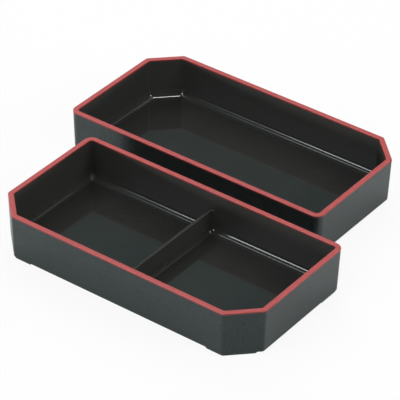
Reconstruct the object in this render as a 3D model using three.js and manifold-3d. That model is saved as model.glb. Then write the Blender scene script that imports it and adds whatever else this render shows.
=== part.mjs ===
// Two half trays of a bento box, moulded in black plastic, each with a red lacquered rim.
// Both halves have two cut and two rounded corners. The front one has a cross partition, and the rear one
// is the same moulding turned half round and set back and aside.
// Millimetres, +Z up. The set stands on z = 0, with the middle of its plan at the origin.
import * as THREE from "three";
import { mergeVertices } from "three/addons/utils/BufferGeometryUtils.js";
import Module from "manifold-3d";

const wasm = await Module();
wasm.setup();

// Plan of one tray, measured outside at the rim
const trayLength = 240;
const trayWidth = 122;
const cornerCut = 22.2; // leg of each 45 degree cut corner
const cornerRound = 7; // radius of the two corners that aren't cut
const cutEdgeRound = 3.5; // radius of the upright edges beside a cut corner
const innerEdgeRound = 1; // smallest radius of an upright inside corner

// Section through the wall and floor
const trayHeight = 39.5;
const rimWidth = 4.3;
const rimDepth = 1.3; // how far the red goes down the wall
const rimEdgeRound = 0.6;
const outerTaper = 1.3; // lean of the outside, from the rim to the foot of the wall
const innerTaper = 0.7; // lean of the inside, from the rim to the floor
const floorThickness = 3.3;
const floorFillet = 6.5; // between the inside of the wall and the floor
const bottomEdgeRound = 0.6;

// Feet: a low rib under the wall at each corner
const footHeight = 1.8;
const footInset = 0.7; // step in from the foot of the wall
const footWidth = 5;
const footRunLong = 15; // along the long wall, past the end of the cut corner
const footStopShort = 2; // short of the cut corner's end at the short wall
const footSink = 1; // how far the rib's root goes up into the floor

// Cross partition of the front tray
const partitionOffset = 1.3; // from the middle of the length
const partitionThickness = 2.5; // at the top
const partitionHeight = 19; // above the floor
const partitionTaper = 0.5; // each face, from the top to the floor
const partitionFillet = 3.2; // to the floor and to the long walls
const partitionTopRound = 0.9;
const partitionClearance = 0.3; // between the partition's ends and the walls

// Layout of the set
const trayGap = 17.4; // between the trays' facing long sides
const rearTrayShift = -35; // of the rear tray, along the length

// Facets
const roundSteps = 8; // on a rounded corner
const edgeSteps = 3; // on the upright edge beside a cut
const filletSteps = 6;
const smallRoundSteps = 3;

// Heights and leans that follow from the sizes above
const wallFoot = footHeight;
const floorTop = footHeight + floorThickness;
const rimSeat = trayHeight - rimDepth;
const outerInset = (z) => (outerTaper * (trayHeight - z)) / (trayHeight - wallFoot);
const innerInset = (z) => rimWidth + (innerTaper * (trayHeight - z)) / (trayHeight - floorTop);

const blackPlastic = new THREE.MeshStandardMaterial({ color: 0x1b1f1f, roughness: 0.35, metalness: 0 });
const redLacquer = new THREE.MeshStandardMaterial({ color: 0xb8383a, roughness: 0.4, metalness: 0 });

/** Sharp corners of the tray's plan, anticlockwise from the front left, each with its rounding and its steps. */
function planCorners() {
  const x = trayLength / 2;
  const y = trayWidth / 2;
  const cutEdge = { round: cutEdgeRound, steps: edgeSteps };
  const rounded = { round: cornerRound, steps: roundSteps };
  return [
    { at: new THREE.Vector2(-x + cornerCut, -y), ...cutEdge },
    { at: new THREE.Vector2(x - cornerCut, -y), ...cutEdge },
    { at: new THREE.Vector2(x, -y + cornerCut), ...cutEdge },
    { at: new THREE.Vector2(x, y), ...rounded },
    { at: new THREE.Vector2(-x, y), ...rounded },
    { at: new THREE.Vector2(-x, -y + cornerCut), ...cutEdge },
  ];
}

/** The tray's plan moved in by an inset: each corner is an arc that keeps its centre until it gets too tight. */
function planOutline(inset) {
  const corners = planCorners();
  const count = corners.length;
  const outward = corners.map((corner, i) => {
    const along = corners[(i + 1) % count].at.clone().sub(corner.at).normalize();
    return new THREE.Vector2(along.y, -along.x);
  });
  return corners.flatMap((corner, i) => {
    const before = outward[(i + count - 1) % count];
    const after = outward[i];
    const radius = Math.max(corner.round - inset, innerEdgeRound);
    const mitre = before.clone().add(after).divideScalar(1 + before.dot(after));
    const centre = corner.at.clone().addScaledVector(mitre, -(inset + radius));
    const start = before.angle();
    const turn = Math.acos(before.dot(after));
    return Array.from({ length: corner.steps + 1 }, (_, k) => {
      const angle = start + (turn * k) / corner.steps;
      return new THREE.Vector2(Math.cos(angle), Math.sin(angle)).multiplyScalar(radius).add(centre);
    });
  });
}

/** Quarter arc in a wall's section, as inset and height pairs, from one angle to another about a centre. */
function sectionArc(centreInset, centreHeight, radius, fromAngle, toAngle, steps) {
  return Array.from({ length: steps + 1 }, (_, k) => {
    const angle = fromAngle + ((toAngle - fromAngle) * k) / steps;
    return [centreInset + radius * Math.cos(angle), centreHeight + radius * Math.sin(angle)];
  });
}

/** Rings of the tray's plan, one for each inset and height of a section. */
function sectionRings(section) {
  return section.map(([inset, height]) =>
    planOutline(inset).map((point) => new THREE.Vector3(point.x, point.y, height)),
  );
}

/** Skin over a row of rings. A closed section joins its last ring to its first, and an open one gets end caps. */
function loft(rings, closedSection) {
  const around = rings[0].length;
  const triangles = [];
  const bands = closedSection ? rings.length : rings.length - 1;
  for (let band = 0; band < bands; band++) {
    const low = band * around;
    const high = ((band + 1) % rings.length) * around;
    for (let i = 0; i < around; i++) {
      const next = (i + 1) % around;
      triangles.push(low + i, low + next, high + next, low + i, high + next, high + i);
    }
  }
  if (!closedSection) {
    const flat = (ring) => ring.map((point) => new THREE.Vector2(point.x, point.y));
    const last = (rings.length - 1) * around;
    for (const [a, b, c] of THREE.ShapeUtils.triangulateShape(flat(rings[0]), [])) {
      triangles.push(a, c, b);
    }
    for (const [a, b, c] of THREE.ShapeUtils.triangulateShape(flat(rings.at(-1)), [])) {
      triangles.push(last + a, last + b, last + c);
    }
  }
  const geometry = new THREE.BufferGeometry().setFromPoints(rings.flat());
  geometry.setIndex(triangles);
  return geometry;
}

/** Solid of a closed geometry, for joining and cutting. */
function toSolid(geometry) {
  const bare = geometry.clone();
  bare.deleteAttribute("normal");
  bare.deleteAttribute("uv");
  const merged = mergeVertices(bare);
  return new wasm.Manifold(
    new wasm.Mesh({
      numProp: 3,
      vertProperties: new Float32Array(merged.attributes.position.array),
      triVerts: new Uint32Array(merged.index.array),
    }),
  );
}

function fromSolid(solid) {
  const { vertProperties, triVerts } = solid.getMesh();
  const geometry = new THREE.BufferGeometry();
  geometry.setAttribute("position", new THREE.BufferAttribute(vertProperties, 3));
  geometry.setIndex(new THREE.BufferAttribute(triVerts, 1));
  return geometry;
}

/** The tray's shell from its underside, up the outside, over the seat of the rim and down to the floor. */
function shellSolid() {
  const footLean = outerInset(wallFoot);
  const filletTop = floorTop + floorFillet;
  const section = [
    ...sectionArc(
      footLean + bottomEdgeRound,
      wallFoot + bottomEdgeRound,
      bottomEdgeRound,
      -Math.PI / 2,
      -Math.PI,
      smallRoundSteps,
    ),
    [outerInset(rimSeat), rimSeat],
    [innerInset(rimSeat), rimSeat],
    ...sectionArc(innerInset(filletTop) + floorFillet, filletTop, floorFillet, -Math.PI, -Math.PI / 2, filletSteps),
  ];
  return toSolid(loft(sectionRings(section), false));
}

/** Prism that opens the ring of feet along one side: its ends slope, so that the feet narrow to the ground. */
function footGap(halfLength, across) {
  const top = footHeight + 2 * footSink;
  const profile = new THREE.Shape([
    new THREE.Vector2(-halfLength - footSink, -footSink),
    new THREE.Vector2(halfLength + footSink, -footSink),
    new THREE.Vector2(halfLength - top, top),
    new THREE.Vector2(-halfLength + top, top),
  ]);
  const geometry = new THREE.ExtrudeGeometry(profile, { depth: across, bevelEnabled: false, steps: 1 });
  return geometry.translate(0, 0, -across / 2).rotateX(Math.PI / 2);
}

/** Feet at the corners: a rib that follows the wall, opened along the middle of each side. */
function feetSolid() {
  const inset = outerInset(wallFoot) + footInset;
  const shape = new THREE.Shape(planOutline(inset));
  shape.holes.push(new THREE.Path(planOutline(inset + footWidth)));
  const rib = new THREE.ExtrudeGeometry(shape, { depth: footHeight + footSink, bevelEnabled: false, steps: 1 });
  const longGap = footGap(trayLength / 2 - cornerCut - footRunLong, trayWidth);
  const shortGap = footGap(trayWidth / 2 - cornerCut + footStopShort, trayLength).rotateZ(Math.PI / 2);
  return toSolid(rib).subtract(toSolid(longGap)).subtract(toSolid(shortGap));
}

/** Red rim: a flat-topped band as wide as the wall, with both upper edges rounded. */
function rimGeometry() {
  const shoulder = trayHeight - rimEdgeRound;
  const section = [
    [outerInset(rimSeat), rimSeat],
    ...sectionArc(
      outerInset(shoulder) + rimEdgeRound,
      shoulder,
      rimEdgeRound,
      Math.PI,
      Math.PI / 2,
      smallRoundSteps,
    ),
    ...sectionArc(innerInset(shoulder) - rimEdgeRound, shoulder, rimEdgeRound, Math.PI / 2, 0, smallRoundSteps),
    [innerInset(rimSeat), rimSeat],
  ];
  return loft(sectionRings(section), true);
}

/** How far a concave fillet stands out from a face at a distance from the corner that it fills. */
function filletReach(distance, radius) {
  const left = Math.max(radius - distance, 0);
  return radius - Math.sqrt(radius * radius - left * left);
}

/** One level of the partition: a strip along the width whose ends spread into the long walls. */
function partitionRing(height, narrowing) {
  const aboveFloor = height - floorTop;
  const wall = innerInset(height) + filletReach(aboveFloor, floorFillet);
  const end = trayWidth / 2 - wall - partitionClearance;
  const lean = (partitionTaper * (partitionHeight - aboveFloor)) / partitionHeight;
  const half = partitionThickness / 2 + lean + filletReach(aboveFloor, partitionFillet) - narrowing;
  const flare = Array.from({ length: filletSteps + 1 }, (_, k) => {
    const angle = ((Math.PI / 2) * k) / filletSteps;
    const fromWall = partitionFillet * (1 - Math.cos(angle));
    return new THREE.Vector2(half + filletReach(fromWall, partitionFillet), end - fromWall);
  });
  const backHalf = [...flare].reverse();
  const right = [...flare.map(({ x, y }) => [x, -y]), ...backHalf.map(({ x, y }) => [x, y])];
  const left = [...flare.map(({ x, y }) => [-x, y]), ...backHalf.map(({ x, y }) => [-x, -y])];
  return [...right, ...left].map(([x, y]) => new THREE.Vector3(partitionOffset + x, y, height));
}

/** Partition: levels crowd at the floor, where it spreads in a fillet, and at the top, where its edges round off. */
function partitionGeometry() {
  const quarter = (steps) => Array.from({ length: steps + 1 }, (_, k) => ((Math.PI / 2) * k) / steps);
  const base = quarter(filletSteps).map((angle) => {
    const aboveFloor = partitionFillet * (1 - Math.cos(angle));
    return partitionRing(floorTop + aboveFloor, 0);
  });
  const filletTop = partitionRing(floorTop + floorFillet, 0);
  const shoulder = floorTop + partitionHeight - partitionTopRound;
  const top = quarter(smallRoundSteps).map((angle) =>
    partitionRing(
      shoulder + partitionTopRound * Math.sin(angle),
      partitionTopRound * (1 - Math.cos(angle)),
    ),
  );
  return loft([...base, filletTop, ...top], false);
}

function namedMesh(name, geometry, material) {
  const mesh = new THREE.Mesh(geometry, material);
  mesh.name = name;
  return mesh;
}

const shellGeometry = fromSolid(shellSolid().add(feetSolid()));

const frontTray = new THREE.Group();
frontTray.position.set(-rearTrayShift / 2, -(trayWidth + trayGap) / 2, 0);
frontTray.add(
  namedMesh("front_tray", shellGeometry, blackPlastic),
  namedMesh("front_rim", rimGeometry(), redLacquer),
  namedMesh("front_partition", partitionGeometry(), blackPlastic),
);

const rearTray = new THREE.Group();
rearTray.position.set(rearTrayShift / 2, (trayWidth + trayGap) / 2, 0);
rearTray.rotation.z = Math.PI;
rearTray.add(
  namedMesh("rear_tray", shellGeometry.clone(), blackPlastic),
  namedMesh("rear_rim", rimGeometry(), redLacquer),
);

const bentoSet = new THREE.Group();
bentoSet.name = "bento_set";
bentoSet.add(frontTray, rearTray);

export default bentoSet;
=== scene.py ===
from math import cos, pi, radians, sin

import bpy
import numpy as np
from mathutils import Matrix, Vector


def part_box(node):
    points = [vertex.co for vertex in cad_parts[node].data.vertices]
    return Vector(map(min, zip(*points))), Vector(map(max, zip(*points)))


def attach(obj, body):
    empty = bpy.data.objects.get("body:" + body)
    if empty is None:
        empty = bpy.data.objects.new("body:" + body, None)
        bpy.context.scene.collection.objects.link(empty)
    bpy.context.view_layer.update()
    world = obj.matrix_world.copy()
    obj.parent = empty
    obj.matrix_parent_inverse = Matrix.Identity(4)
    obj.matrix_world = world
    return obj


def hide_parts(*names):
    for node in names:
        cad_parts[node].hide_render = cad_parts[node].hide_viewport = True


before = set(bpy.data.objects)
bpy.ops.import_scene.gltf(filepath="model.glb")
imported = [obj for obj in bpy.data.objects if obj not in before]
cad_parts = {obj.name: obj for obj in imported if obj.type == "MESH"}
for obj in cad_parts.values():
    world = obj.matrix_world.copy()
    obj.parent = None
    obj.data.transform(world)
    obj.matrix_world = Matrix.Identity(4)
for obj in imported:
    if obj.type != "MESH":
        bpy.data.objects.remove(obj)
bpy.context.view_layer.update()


# Tray shells: two like half trays, each injection moulded in one piece in black plastic. The outside keeps
# the fine grain of its mould and the inside is polished. Low feet stand under the corners, and the
# underside has the trimmed gate through which the plastic came in.
mm = 0.001
front_low, front_high = (np.array(corner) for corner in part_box("front_rim"))
rear_low, rear_high = (np.array(corner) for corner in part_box("rear_rim"))
tray_length, tray_width = (front_high - front_low)[:2]
tray_height = front_high[2]
rim_seat = front_low[2]  # top of the black wall
front_place = np.append(((front_low + front_high) / 2)[:2], 0)
rear_place = np.append(((rear_low + rear_high) / 2)[:2], 0)
turned_round = np.array([-1, -1, 1])  # half a turn about the upright axis
halves = [("front", front_place, 1), ("rear", rear_place, turned_round)]

corner_cut = 22.2 * mm  # leg of each 45 degree cut corner
corner_round = 7 * mm
cut_edge_round = 3.5 * mm  # upright edges beside a cut
inner_edge_round = 3 * mm  # least radius of an upright inside corner
corner_steps = 16
cut_edge_steps = 8

rim_width = 4.3 * mm
outer_lean = 1.3 * mm  # from the rim to the foot of the wall
inner_lean = 0.7 * mm  # from the rim to the floor
floor_thickness = 3.3 * mm
floor_fillet = 6.5 * mm
fillet_steps = 18
bottom_edge_round = 0.6 * mm
bottom_edge_steps = 5

foot_height = 1.8 * mm
foot_width = 5 * mm
foot_step = 0.7 * mm  # in from the foot of the wall
foot_draft = 0.15 * mm
foot_edge_round = 0.5 * mm
foot_edge_steps = 4
foot_run_front = 15 * mm  # along the cut side's long wall, from the cut
foot_run_back = 37 * mm  # along the other long wall, from the corner
foot_run_short = 20 * mm  # along the short wall, from the rounded corner
foot_stop_cut = 2.8 * mm  # left bare on the cut, beside the short wall

gate_dish = 5 * mm  # radius of the shallow dish round the gate
gate_dish_slope = 0.6 * mm  # width of the dish's sloping edge
gate_depth = 0.4 * mm
gate_stub = 1.1 * mm  # radius of the trimmed stub
gate_stub_taper = 0.1 * mm
gate_stub_recess = 0.16 * mm  # from the underside up to the stub's trimmed face

edge_hold = 1 * mm  # a line of points this near to a rounding keeps the flat beside it flat
crease = radians(40)  # edges sharper than this stay crisp

floor_top = foot_height + floor_thickness
cut_length = corner_cut * 2**0.5
foot_run_cut = cut_length - foot_stop_cut

half_length, half_width = tray_length / 2, tray_width / 2
plan_corners = np.array(
    [
        (-half_length + corner_cut, -half_width),
        (half_length - corner_cut, -half_width),
        (half_length, -half_width + corner_cut),
        (half_length, half_width),
        (-half_length, half_width),
        (-half_length, -half_width + corner_cut),
    ]
)
plan_rounds = np.array([cut_edge_round] * 3 + [corner_round] * 2 + [cut_edge_round])
plan_steps = [cut_edge_steps] * 3 + [corner_steps] * 2 + [cut_edge_steps]
# Foot at the start and at the end of each side, anticlockwise from the front
foot_runs = [
    (foot_run_front, foot_run_front),
    (foot_run_cut, 0),
    (0, foot_run_short),
    (foot_run_back, foot_run_back),
    (foot_run_short, 0),
    (0, foot_run_cut),
]

grain_size = 1.6 * mm
grain_depth = 0.06 * mm
grain_low, grain_high = 0.35, 0.65  # stretch of the noise that makes the grain
mottle_size = 9 * mm
outside_dark = (0.0091, 0.0115, 0.0111)
outside_light = (0.0225, 0.028, 0.0272)

wave_size = 14 * mm
wave_depth = 0.02 * mm
smudge_size = 30 * mm
hairline_width = 0.6 * mm
hairline_stretch = (0.04, 1, 0.3)
hairline_turn = 0.6
# The floor's colour, and a lighter one for the smudges and for the painted light on walls and fillets
inside_dark = (0.0205, 0.021, 0.0187)
inside_smudge_and_painted_light = (0.0365, 0.0372, 0.0335)
# The polish is best on the floor, less good in the fillet and least good on the walls. The first two heights
# also bound painted light: above them, walls and fillets are painted paler than the floor.
floor_polish_and_painted_light_end = floor_top + 0.1 * mm
fillet_polish_and_painted_light_start = floor_top + 0.7 * mm
fillet_polish_end = floor_top + 3.7 * mm
wall_polish_start = floor_top + 5.4 * mm


def outer_inset(height):
    """Lean of the outside, straight from the rim down to the foot of the wall."""
    return outer_lean * (tray_height - height) / (tray_height - foot_height)


def inner_inset(height):
    """Wall's thickness at the rim and the lean of its inside, straight down to the floor."""
    return rim_width + inner_lean * (tray_height - height) / (tray_height - floor_top)


def side_stations(length, start_run, end_run):
    """Points along one side as shares of its length, and whether a foot is there: 1 on it and 0 off it.

    Each run of foot ends in a slope that is as long as the foot is high.
    """
    stations = [(edge_hold, start_run > 0), (length - edge_hold, end_run > 0)]
    if start_run:
        stations += [(start_run - foot_height, 1), (start_run, 0)]
    if end_run:
        stations += [(length - end_run, 0), (length - end_run + foot_height, 1)]
    distance, on_foot = np.array(sorted(stations), float).T
    return distance / length, on_foot


def tray_outline(insets):
    """Plan of the tray moved in by each inset, as points all round, and where the feet are along it.

    A corner is an arc about a centre that stays put while the inset grows, until the radius reaches the
    least one. A side's points lie at fixed shares of the way from one arc to the next.
    """
    sides = np.roll(plan_corners, -1, axis=0) - plan_corners
    lengths = np.linalg.norm(sides, axis=1)
    along = sides / lengths[:, None]
    after = np.column_stack([along[:, 1], -along[:, 0]])
    before = np.roll(after, 1, axis=0)
    facing = (before * after).sum(axis=1)
    mitre = (before + after) / (1 + facing)[:, None]
    first_angle = np.arctan2(before[:, 1], before[:, 0])
    turn = np.arccos(facing)

    insets = np.asarray(insets, float)[:, None]
    radius = np.maximum(plan_rounds - insets, inner_edge_round)
    centre = plan_corners - mitre * (insets + radius)[:, :, None]
    points, feet = [], []
    for corner in range(len(plan_corners)):
        angle = first_angle[corner] + turn[corner] * np.linspace(0, 1, plan_steps[corner] + 1)
        spoke = np.column_stack([np.cos(angle), np.sin(angle)])
        arc = centre[:, corner, None] + radius[:, corner, None, None] * spoke
        following = (corner + 1) % len(plan_corners)
        side_start = arc[:, -1:]
        side_end = (centre[:, following] + radius[:, following, None] * after[corner])[:, None]
        shares, on_foot = side_stations(lengths[corner], *foot_runs[corner])
        points += [arc, side_start + (side_end - side_start) * shares[:, None]]
        feet += [np.full(len(angle), float(foot_runs[corner][0] > 0)), on_foot]
    return np.concatenate(points, axis=1), np.concatenate(feet)


def section_arc(centre_inset, centre_height, radius, start, stop, steps):
    """Arc in a wall's section: rows of inset and height at even angles about a centre."""
    angle = np.linspace(start, stop, steps + 1)
    return np.column_stack([centre_inset + radius * np.cos(angle), centre_height + radius * np.sin(angle)])


def at_heights(plan, heights):
    """Rings of points: each row of a plan with its height."""
    height = np.broadcast_to(heights[:, None, None], (*plan.shape[:2], 1))
    return np.concatenate([plan, height], axis=2)


def section_rings(section):
    """Rings of points, one outline of the tray for each inset and height of a section."""
    plan, _ = tray_outline(section[:, 0])
    return at_heights(plan, section[:, 1])


def foot_rings():
    """Underside's edge with the feet: outlines that drop by a foot's section where a foot is."""
    outside = outer_inset(foot_height) + foot_step
    inside = outside + foot_width
    lean_in = foot_draft + foot_edge_round
    edge = foot_height - foot_edge_round
    section = np.concatenate(
        [
            [(inside + edge_hold, 0), (inside, 0)],
            section_arc(inside - lean_in, edge, foot_edge_round, 0, pi / 2, foot_edge_steps),
            section_arc(outside + lean_in, edge, foot_edge_round, pi / 2, pi, foot_edge_steps),
            [(outside, 0)],
        ]
    )
    plan, on_foot = tray_outline(section[:, 0])
    height = foot_height - section[:, 1, None] * on_foot
    return np.concatenate([plan, height[:, :, None]], axis=2)


def gate_rings(ring):
    """Trimmed gate amid the underside: circles about it whose points face those of the ring outside."""
    angle = np.arctan2(ring[:, 1], ring[:, 0])
    stub_height = foot_height + gate_stub_recess
    dish_height = foot_height + gate_depth
    section = np.array(
        [
            (gate_stub - gate_stub_taper, stub_height),
            (gate_stub, dish_height),
            (gate_dish - gate_dish_slope, dish_height),
            (gate_dish, foot_height),
            (gate_dish + edge_hold, foot_height),
        ]
    )
    circle = np.column_stack([np.cos(angle), np.sin(angle)])
    return at_heights(section[:, 0, None, None] * circle, section[:, 1])


def outside_rings():
    """Outside of the shell: from the gate over the feet, round the bottom edge and up to the rim's seat."""
    feet = foot_rings()
    wall_foot = foot_height + bottom_edge_round
    edge_inset = outer_inset(wall_foot) + bottom_edge_round
    upright = [wall_foot + edge_hold, rim_seat - edge_hold, rim_seat]
    section = np.concatenate(
        [
            section_arc(edge_inset, wall_foot, bottom_edge_round, -pi / 2, -pi, bottom_edge_steps),
            [(outer_inset(height), height) for height in upright],
        ]
    )
    return np.concatenate([gate_rings(feet[0]), feet, section_rings(section)])


def inside_rings():
    """Inside of the shell: from the rim's seat down the wall and through the fillet to the floor."""
    fillet_top = floor_top + floor_fillet
    fillet_inset = inner_inset(fillet_top) + floor_fillet
    upright = [rim_seat, rim_seat - edge_hold, fillet_top + edge_hold]
    section = np.concatenate(
        [
            [(inner_inset(height), height) for height in upright],
            section_arc(fillet_inset, fillet_top, floor_fillet, -pi, -pi / 2, fillet_steps),
            [(fillet_inset + edge_hold, floor_top)],
        ]
    )
    return section_rings(section)


def ring_bands(ring_count, around, closed):
    """Quads between each ring and the next, facing out where the rings run anticlockwise and upwards."""
    place = np.arange(around)
    following = np.roll(place, -1)
    low = np.arange(ring_count if closed else ring_count - 1)[:, None] * around
    high = (low + around) % (ring_count * around)
    return np.stack([low + place, low + following, high + following, high + place], axis=-1).reshape(-1, 4)


def finished_piece(name, points, faces, finishes, finish_of_face=None):
    """Mesh object at the origin, its place in its mesh, smooth but for edges sharper than the crease."""
    mesh = bpy.data.meshes.new(name)
    mesh.from_pydata(points.reshape(-1, 3).tolist(), [], faces)
    for finish in finishes:
        mesh.materials.append(finish)
    if finish_of_face is not None:
        mesh.polygons.foreach_set("material_index", np.asarray(finish_of_face, np.int32))
    mesh.shade_smooth()
    mesh.set_sharp_from_angle(angle=crease)
    mesh.update()
    piece = bpy.data.objects.new(name, mesh)
    bpy.context.scene.collection.objects.link(piece)
    return piece


class Shade:
    """An output of a shader node. Sums, differences and products of these add Math nodes to their tree."""

    def __init__(self, tree, socket=None):
        self.tree = tree
        self.socket = socket

    def node(self, kind, settings=None, inputs=None, output=0):
        """Adds a node, makes its settings, gives its sockets values or links, and wraps one output."""
        made = self.tree.nodes.new("ShaderNode" + kind)
        for name, value in (settings or {}).items():
            if name == "stops":
                self.set_stops(made.color_ramp, value)
            else:
                setattr(made, name, value)
        for name, value in (inputs or {}).items():
            if isinstance(value, Shade):
                self.tree.links.new(value.socket, made.inputs[name])
            else:
                made.inputs[name].default_value = value
        return Shade(self.tree, made.outputs[output])

    @staticmethod
    def set_stops(ramp, stops):
        while len(ramp.elements) < len(stops):
            ramp.elements.new(0.5)
        for element, (position, grey) in zip(ramp.elements, stops):
            element.position = position
            element.color = (grey, grey, grey, 1)

    def maths(self, operation, left, right):
        return self.node("Math", {"operation": operation}, {0: left, 1: right})

    def __add__(self, other):
        return self.maths("ADD", self, other)

    def __sub__(self, other):
        return self.maths("SUBTRACT", self, other)

    def __rsub__(self, other):
        return self.maths("SUBTRACT", other, self)

    def __mul__(self, other):
        return self.maths("MULTIPLY", self, other)

    __radd__ = __add__
    __rmul__ = __mul__


def new_finish(name, **constants):
    """Material with a Principled surface whose constants are set: itself, its tree and its surface."""
    material = bpy.data.materials.new(name)
    material.use_nodes = True
    tree = material.node_tree
    surface = tree.nodes["Principled BSDF"]
    for socket, value in constants.items():
        surface.inputs[socket.replace("_", " ")].default_value = value
    return material, Shade(tree), surface


def feed(surface, **sockets):
    """Links what varies over a surface to its shader's sockets."""
    for socket, shade in sockets.items():
        shade.tree.links.new(shade.socket, surface.inputs[socket.replace("_", " ")])


def noise(tree, place, size, detail, roughness=0.5):
    """Soft random values from about 0 to 1 whose blotches are about a size across."""
    inputs = {"Vector": place, "Scale": 1 / size, "Detail": detail, "Roughness": roughness}
    return tree.node("TexNoise", inputs=inputs)


def rise(tree, value, start, stop):
    """Share that goes evenly from 0 to 1 as a value goes from a start to a stop, and stays there beyond."""
    return tree.node("MapRange", inputs={"Value": value, "From Min": start, "From Max": stop})


def relief(tree, height, strength, depth):
    """Normal of a surface that rises by a depth where a height goes from 0 to 1."""
    inputs = {"Strength": strength, "Distance": depth, "Height": height}
    return tree.node("Bump", inputs=inputs, output="Normal")


def mixed_colour(tree, share, first, second):
    """Colour between two, by a share that varies over the surface. The first may itself vary."""
    start = first if isinstance(first, Shade) else (*first, 1)
    inputs = {"Factor": share, "A": start, "B": (*second, 1)}
    return tree.node("Mix", {"data_type": "RGBA"}, inputs, output="Result")


def grained_black():
    """Outside of the trays: black plastic with a fine even grain that breaks its gloss to a satin sheen."""
    material, tree, surface = new_finish(
        "grained_black",
        Specular_IOR_Level=0.46,
        Specular_Tint=(0.8, 1, 0.99, 1),
    )
    place = tree.node("TexCoord", output="Object")
    grain = rise(tree, noise(tree, place, grain_size, detail=2), grain_low, grain_high)
    mottle = noise(tree, place, mottle_size, detail=3)
    feed(
        surface,
        Base_Color=mixed_colour(tree, 0.75 * grain + 0.25 * mottle, outside_dark, outside_light),
        Roughness=0.26 + 0.06 * grain + 0.05 * mottle,
        Normal=relief(tree, grain, strength=0.4, depth=grain_depth),
    )
    return material


def polished_black():
    """Inside of the trays: black plastic off a polished mould, slightly wavy, with faint wiping marks, and
    with painted light that makes walls and fillets paler than the floor.
    """
    material, tree, surface = new_finish("polished_black", Specular_Tint=(0.93, 1, 1, 1))
    place = tree.node("TexCoord", output="Object")
    wave = noise(tree, place, wave_size, detail=1)
    smudge = noise(tree, place, smudge_size, detail=4, roughness=0.6)
    wiped = tree.node(
        "Mapping",
        inputs={"Vector": place, "Rotation": (0, 0, hairline_turn), "Scale": hairline_stretch},
    )
    hairline = noise(tree, wiped, hairline_width, detail=0)
    height = tree.node("SeparateXYZ", inputs={"Vector": place}, output="Z")
    # Painted light: from the floor's edge up, walls and fillets take a share of the lighter colour. The same
    # rise also makes them rougher.
    off_floor_polish_and_painted_light = rise(tree, height, floor_polish_and_painted_light_end, fillet_polish_and_painted_light_start)
    on_wall = rise(tree, height, fillet_polish_end, wall_polish_start)
    feed(
        surface,
        Base_Color=mixed_colour(tree, 0.6 * smudge + 0.4 * off_floor_polish_and_painted_light, inside_dark, inside_smudge_and_painted_light),
        Roughness=0.03 + 0.03 * smudge + 0.02 * hairline + 0.06 * off_floor_polish_and_painted_light + 0.33 * on_wall,
        Normal=relief(tree, wave, strength=0.1, depth=wave_depth),
    )
    return material


outside_finish = grained_black()
inside_finish = polished_black()
outside, inside = outside_rings(), inside_rings()
shell_rings = np.concatenate([outside, inside])
around = shell_rings.shape[1]
first_ring = np.arange(around)
last_ring = first_ring + (len(shell_rings) - 1) * around
shell_faces = ring_bands(len(shell_rings), around, closed=False).tolist()
shell_faces += [first_ring[::-1].tolist(), last_ring.tolist()]
band_finish = np.arange(len(shell_rings) - 1) >= len(outside) - 1
face_finish = np.concatenate([np.repeat(band_finish, around), [0, 1]])

for half, place, turn in halves:
    shell = finished_piece(
        half + "_shell",
        shell_rings * turn + place,
        shell_faces,
        [outside_finish, inside_finish],
        face_finish,
    )
    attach(shell, half + "_half")
    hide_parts(half + "_tray")


# Cross partition of the front tray: a low wall of the same black plastic, moulded in one with the tray.
# It spreads in a fillet into the floor and into both long walls, and its top edge is rounded.
partition_middle = 1.3 * mm  # to the right of the tray's middle
partition_thickness = 2.5 * mm
partition_height = 19 * mm
partition_lean = 0.5 * mm  # each face, from the top to the floor
partition_fillet = 3.2 * mm
partition_top_round = 0.9 * mm
partition_root = 0.15 * mm  # how far its ends and its base go into the tray
partition_round_steps = 10
partition_wall_steps = 6  # from the top of its own fillet to the top of the tray's


def fillet_reach(distance, radius):
    """How far a hollow fillet stands out from a face, at a distance from the corner that it fills."""
    left = np.clip(radius - distance, 0, radius)
    return radius - np.sqrt(radius**2 - left**2)


def partition_rings():
    """Levels of the partition from floor to top: strips across the tray, their ends flared into its walls.

    The half width is the lean, the floor's fillet and the top's rounding added up. Each end follows the
    inside of the tray's wall and its fillet.
    """
    quarter = np.linspace(0, pi / 2, partition_round_steps + 1)
    fillet_levels = partition_fillet * (1 - np.cos(quarter))
    wall_levels = np.linspace(partition_fillet, floor_fillet, partition_wall_steps + 1)[1:]
    shoulder = partition_height - partition_top_round
    top_levels = shoulder + partition_top_round * np.sin(quarter)
    above = np.concatenate([fillet_levels, wall_levels, [shoulder - edge_hold], top_levels])
    rounding = np.zeros(len(above))
    rounding[-len(quarter) :] = partition_top_round * (1 - np.cos(quarter))

    wall = inner_inset(floor_top + above) + fillet_reach(above, floor_fillet)
    end = half_width - wall + partition_root
    lean = partition_lean * (1 - above / partition_height)
    half = partition_thickness / 2 + lean + fillet_reach(above, partition_fillet) - rounding
    from_wall = np.append(fillet_levels, partition_fillet + edge_hold)
    side_x = half[:, None] + fillet_reach(from_wall, partition_fillet)
    side_y = end[:, None] - from_wall
    right_x = np.concatenate([side_x, side_x[:, ::-1]], axis=1)
    right_y = np.concatenate([-side_y, side_y[:, ::-1]], axis=1)
    plan_x = np.concatenate([right_x, -right_x[:, ::-1]], axis=1) + partition_middle
    plan_y = np.concatenate([right_y, right_y[:, ::-1]], axis=1)
    height = np.broadcast_to(floor_top + above[:, None], plan_x.shape).copy()
    height[0] -= partition_root
    return np.stack([plan_x, plan_y, height], axis=2)


def strip_cap(ring_start, around):
    """Quads across a strip's outline, from each point of its right side to the like one of its left."""
    right = ring_start + np.arange(around // 2)
    left = ring_start + around - 1 - np.arange(around // 2)
    return np.stack([right[:-1], right[1:], left[1:], left[:-1]], axis=-1)


levels = partition_rings()
level_count, around = levels.shape[:2]
partition_faces = np.concatenate(
    [
        ring_bands(level_count, around, closed=False),
        strip_cap(0, around)[:, ::-1],
        strip_cap((level_count - 1) * around, around),
    ]
).tolist()
partition = finished_piece("front_cross_partition", levels + front_place, partition_faces, [inside_finish])
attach(partition, "front_half")
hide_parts("front_partition")


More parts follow.
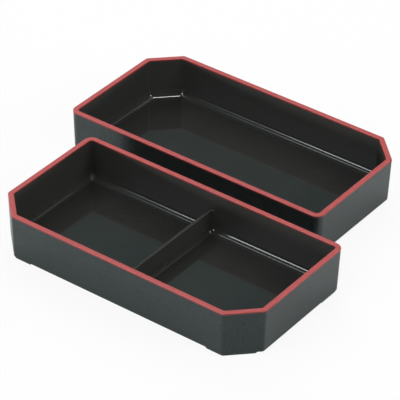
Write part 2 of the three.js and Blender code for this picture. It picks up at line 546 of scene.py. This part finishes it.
# Red rims: a coat of red lacquer on the flat top of each wall, carried a little way down both of its sides.
# Here it is a band as wide as the wall, with both upper edges rounded and a film that stands just proud.
rim_edge_round = 0.6 * mm
rim_edge_steps = 6
lacquer_film = 0.06 * mm
lacquer_flow_size = 5 * mm
lacquer_flow_depth = 0.04 * mm
lacquer_speck_size = 0.7 * mm
red_deep = (0.445, 0.073, 0.072)
red_bright = (0.51, 0.09, 0.088)
red_painted_shade = (0.17, 0.02, 0.02)  # painted shade on the band's lower edges, where less light falls
side_shade_start = tray_height - 0.03 * mm  # the painted shade starts below here, and is full from the next height down
side_shade_full = tray_height - 0.4 * mm


def red_lacquer():
    """Satin red lacquer: a little uneven in depth, with a soft waviness where the coat flowed out, and
    painted shade on its lower edges.
    """
    material, tree, surface = new_finish("red_lacquer")
    place = tree.node("TexCoord", output="Object")
    flow = noise(tree, place, lacquer_flow_size, detail=2)
    speck = noise(tree, place, lacquer_speck_size, detail=1)
    coat = mixed_colour(tree, 0.7 * flow + 0.3 * speck, red_deep, red_bright)
    height = tree.node("SeparateXYZ", inputs={"Vector": place}, output="Z")
    # Painted shade: the colour darkens to a dull red on the band's lower edges, which face sideways
    painted_side_shade = rise(tree, height, side_shade_start, side_shade_full)
    feed(
        surface,
        Base_Color=mixed_colour(tree, painted_side_shade, coat, red_painted_shade),
        Roughness=0.3 + 0.1 * flow + 0.05 * speck,
        Normal=relief(tree, flow, strength=0.15, depth=lacquer_flow_depth),
    )
    return material


def rim_rings():
    """Section of the band carried round the tray: up the outside, over the top and down the inside."""
    shoulder = tray_height - rim_edge_round
    outer_middle = outer_inset(shoulder) - lacquer_film + rim_edge_round
    inner_middle = inner_inset(shoulder) + lacquer_film - rim_edge_round
    outer_seat, inner_seat = outer_inset(rim_seat), inner_inset(rim_seat)
    proud = rim_seat + lacquer_film
    section = np.concatenate(
        [
            [(outer_seat, rim_seat), (outer_seat - lacquer_film, proud)],
            section_arc(outer_middle, shoulder, rim_edge_round, pi, pi / 2, rim_edge_steps),
            section_arc(inner_middle, shoulder, rim_edge_round, pi / 2, 0, rim_edge_steps),
            [(inner_seat + lacquer_film, proud), (inner_seat, rim_seat)],
        ]
    )
    return section_rings(section)


rim_finish = red_lacquer()
band_rings = rim_rings()
band_faces = ring_bands(*band_rings.shape[:2], closed=True).tolist()
for half, place, turn in halves:
    band = finished_piece(half + "_red_band", band_rings * turn + place, band_faces, [rim_finish])
    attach(band, half + "_half")
    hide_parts(half + "_rim")


# Stage: a pale matt table, almost plain white to the camera, which keeps the trays' shadow. Broad lamps give
# the matt light and don't show in gloss. The other lamps and a dim panel of the world show in gloss alone,
# where they draw the lines along the fillets, the glints in the corners and the sheen of the floors.
table_radius = 6.0
table_edge_points = 128
table_drop = 0.2 * mm  # below the feet
table_colour = (0.85, 0.86, 0.86, 1)
white_to_camera = 0.9
white_to_gloss = 0.1


def pale_table():
    """Matt pale surface, mixed with plain white for what looks straight at it and for reflections of it."""
    material, tree, surface = new_finish(
        "pale_table",
        Base_Color=table_colour,
        Roughness=0.9,
        Specular_IOR_Level=0,
    )
    white = tree.node("Emission", inputs={"Color": (1, 1, 1, 1), "Strength": 1.0})
    camera_ray = tree.node("LightPath", output="Is Camera Ray")
    glossy_ray = tree.node("LightPath", output="Is Glossy Ray")
    clear_ray = tree.node("LightPath", output="Is Transmission Ray")
    share = white_to_camera * camera_ray + white_to_gloss * (glossy_ray + clear_ray)
    matt = Shade(tree.tree, surface.outputs[0])
    shown = tree.node("MixShader", inputs={0: share, 1: matt, 2: white})
    tree.tree.links.new(shown.socket, tree.tree.nodes["Material Output"].inputs["Surface"])
    return material


edge_angle = np.linspace(0, 2 * pi, table_edge_points, endpoint=False)
edge_x, edge_y = table_radius * np.cos(edge_angle), table_radius * np.sin(edge_angle)
table_edge = np.column_stack([edge_x, edge_y, np.full(table_edge_points, -table_drop)])
table = finished_piece("table", table_edge, [list(range(table_edge_points))], [pale_table()])

lamp_distance = 1.5
far_lamp_distance = 12.0
# Each lamp has its name, its direction from the trays, the line of its length, its size and its power
matt_lamps = [
    ("key_light", (-0.525, 0.525, 0.669), (1, 1, 0), (0.8, 0.8), 10.0),
    ("right_fill", (0.87, 0.1, 0.48), (0, 1, 0), (0.6, 0.6), 9.5),
    ("front_fill", (-0.12, -0.6, 0.79), (1, 0, 0), (0.6, 0.6), 5.0),
    ("low_left_fill", (-0.706, -0.706, 0.06), (0.707, -0.707, 0), (0.6, 0.12), 23.0),
    ("low_right_fill", (0.706, 0.706, 0.06), (0.707, -0.707, 0), (0.6, 0.12), 13.0),
]
gloss_lamps = [
    ("window", (-0.367, -0.804, 0.468), (1, -0.34, 0.2), (0.4, 0.28), 3.7),
    ("window_edge", (-0.5225, -0.737, 0.429), (1, -0.53, 0.31), (0.13, 0.28), 0.18),
    ("high_window", (-0.39, -0.312, 0.866), (1, -0.14, 0.4), (0.3, 0.2), 0.85),
    ("high_window_edge", (-0.5, -0.293, 0.815), (1, -0.2, 0.54), (0.09, 0.2), 0.12),
    ("side_strip", (0.14, 0.663, 0.735), (1, 0, -0.2), (0.35, 0.5), 0.28),
    ("front_panel", (0, -0.8, 0.6), (1, 0, 0), (1.0, 0.9), 0.8),
    ("right_panel", (0.8, 0, 0.6), (0, 1, 0), (1.0, 0.9), 0.8),
]
far_gloss_lamps = [
    ("overhead_lamp", (0.09, 0.09, 0.99), (1, 1, 0), (0.64, 0.64), 112.0),
    ("right_glint", (0.595, 0.159, 0.788), (0, 1, 0), (2.4, 2.4), 650.0),
    ("front_glint", (-0.159, -0.595, 0.788), (1, 0, 0), (2.4, 2.4), 650.0),
]


def softbox(name, towards, along, size, power, in_matt, distance):
    """Rectangular lamp at a distance in a direction from the trays, facing them, its length along a line.

    It lights matt surfaces and doesn't show in gloss, or the other way about.
    """
    facing = Vector(towards).normalized()
    length = Vector(along) - Vector(along).dot(facing) * facing
    length.normalize()
    lamp = bpy.data.lights.new(name, "AREA")
    lamp.shape = "RECTANGLE"
    lamp.size, lamp.size_y = size
    lamp.energy = power
    holder = bpy.data.objects.new(name, lamp)
    turned = Matrix([length, facing.cross(length), facing]).transposed()
    holder.matrix_world = Matrix.Translation(facing * distance) @ turned.to_4x4()
    holder.visible_diffuse = in_matt
    holder.visible_glossy = not in_matt
    bpy.context.scene.collection.objects.link(holder)


for lamp in matt_lamps:
    softbox(*lamp, in_matt=True, distance=lamp_distance)
for lamp in gloss_lamps:
    softbox(*lamp, in_matt=False, distance=lamp_distance)
for lamp in far_gloss_lamps:
    softbox(*lamp, in_matt=False, distance=far_lamp_distance)

ambient = 0.34
panel_colour = (0.206, 0.312, 0.312)
# How bright the panel is towards the left, the back and the top, by that part of a direction from 0 to 1
panel_leftwards = [(0.0, 0.1), (0.28, 0.1), (0.38, 1.0), (1.0, 1.0)]
panel_rearwards = [(0.0, 0.3), (0.45, 0.3), (0.57, 1.0), (1.0, 1.0)]
panel_upwards = [(0.25, 0.2), (0.4, 0.6), (0.545, 0.6), (0.6, 1.0)]

world = bpy.data.worlds.new("studio")
world.use_nodes = True
bpy.context.scene.world = world
sky = Shade(world.node_tree)
direction = sky.node("TexCoord", output="Generated")
leftwards = 0 - sky.node("SeparateXYZ", inputs={"Vector": direction}, output="X")
rearwards = sky.node("SeparateXYZ", inputs={"Vector": direction}, output="Y")
upwards = sky.node("SeparateXYZ", inputs={"Vector": direction}, output="Z")
from_left = sky.node("ValToRGB", {"stops": panel_leftwards}, {"Fac": leftwards})
from_back = sky.node("ValToRGB", {"stops": panel_rearwards}, {"Fac": rearwards})
from_above = sky.node("ValToRGB", {"stops": panel_upwards}, {"Fac": upwards})
panel = mixed_colour(sky, from_left * from_back * from_above, (0, 0, 0), panel_colour)
glossy = sky.node("LightPath", output="Is Glossy Ray")
even = sky.node("Background", inputs={"Color": (1, 1, 1, 1), "Strength": ambient})
shaped = sky.node("Background", inputs={"Color": panel, "Strength": 1.0})
lit_sky = sky.node("MixShader", inputs={0: glossy, 1: even, 2: shaped})
world.node_tree.links.new(lit_sky.socket, world.node_tree.nodes["World Output"].inputs["Surface"])


# Camera: a long lens from the front right and above, with the photograph's square frame. Its angles, its
# distance and the place of the front tray in the frame were fitted to the straight edges of the rims.
image_side = 400
focal_length = 2603.7  # in pixels of that frame
camera_azimuth = radians(35.992)
camera_elevation = radians(34.954)
camera_roll = radians(1.2118)
camera_distance = 8.1612 * tray_length  # from the middle of the front tray's footprint
front_place_pixel = np.array([164.63, 268.50])

backwards = np.array(
    [
        sin(camera_azimuth) * cos(camera_elevation),
        -cos(camera_azimuth) * cos(camera_elevation),
        sin(camera_elevation),
    ]
)
level_right = np.array([cos(camera_azimuth), sin(camera_azimuth), 0])
level_up = np.cross(backwards, level_right)
rightwards = cos(camera_roll) * level_right + sin(camera_roll) * level_up
upright = cos(camera_roll) * level_up - sin(camera_roll) * level_right
aside = (front_place_pixel - image_side / 2) * camera_distance / focal_length
eye = front_place + camera_distance * backwards - aside[0] * rightwards + aside[1] * upright

lens = bpy.data.cameras.new("camera")
lens.lens = focal_length / image_side * lens.sensor_width
camera = bpy.data.objects.new("camera", lens)
bpy.context.scene.collection.objects.link(camera)
turned = Matrix(np.column_stack([rightwards, upright, backwards]).tolist())
camera.matrix_world = Matrix.Translation(Vector(eye)) @ turned.to_4x4()
bpy.context.scene.camera = camera
bpy.context.scene.view_settings.view_transform = "Standard"
